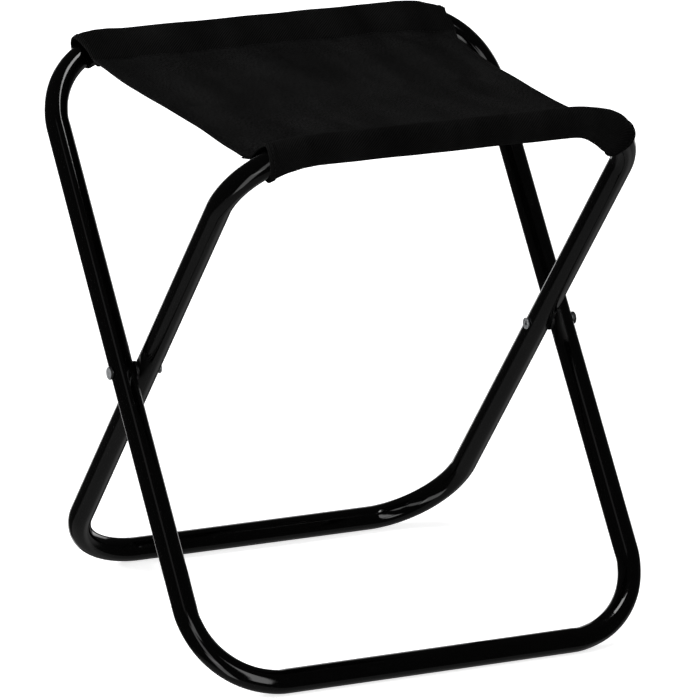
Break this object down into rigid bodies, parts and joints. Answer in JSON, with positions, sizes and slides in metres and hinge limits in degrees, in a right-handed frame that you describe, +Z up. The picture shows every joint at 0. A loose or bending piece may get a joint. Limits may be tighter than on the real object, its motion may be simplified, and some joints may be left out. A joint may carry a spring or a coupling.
{
  "type": "camp stool",
  "caption": "Folding camp stool: crossed bent-tube frames riveted at the middle, with a cloth seat slung between their top bars.",
  "frame": {"origin": "on the floor, straight below the pivot axis and midway between the two pivots", "axes": "+Z up; +X to the right along the pivot axis; -Y is the front, where the inner frame's top bar and the outer frame's bottom bar are"},
  "size_m": [0.3776, 0.342, 0.4152],
  "materials": {
    "frame_paint": "gloss black stoved paint",
    "bare_steel": "bare drawn steel",
    "rivet_steel": "bright zinc plate",
    "washer_plastic": "black nylon",
    "seat_cloth": "black twill-woven polyester, hemmed and stitched"
  },
  "bodies": {
    "outer_frame": {"outer_frame_tube": "frame_paint", "outer_frame_spigot": "bare_steel", "left_pivot_rivet": "rivet_steel", "right_pivot_rivet": "rivet_steel", "left_spacer_washer": "washer_plastic", "right_spacer_washer": "washer_plastic", "rear_sleeve": "seat_cloth"},
    "inner_frame": {"inner_frame_tube": "frame_paint", "inner_frame_spigot": "bare_steel", "front_sleeve": "seat_cloth"},
    "seat_rear": {"rear_seat_panel": "seat_cloth"},
    "seat_front": {"front_seat_panel": "seat_cloth"}
  },
  "joints": [
    {"name": "fold", "type": "hinge", "parent": "outer_frame", "child": "inner_frame", "pos_m": [0, 0, 0.20309], "axis": [-1, 0, 0], "range_deg": [0, 71]},
    {"name": "seat_rear_drop", "type": "hinge", "parent": "outer_frame", "child": "seat_rear", "pos_m": [0, 0.15999, 0.40422], "axis": [1, 0, 0], "range_deg": [0, 47]},
    {"name": "seat_front_drop", "type": "hinge", "parent": "inner_frame", "child": "seat_front", "pos_m": [0, -0.15999, 0.40422], "axis": [-1, 0, 0], "range_deg": [0, 47]}
  ],
  "couplings": [
    {"joint": "seat_rear_drop", "follows": "fold", "ratio": 0.6585},
    {"joint": "seat_front_drop", "follows": "fold", "ratio": 0.6585}
  ]
}
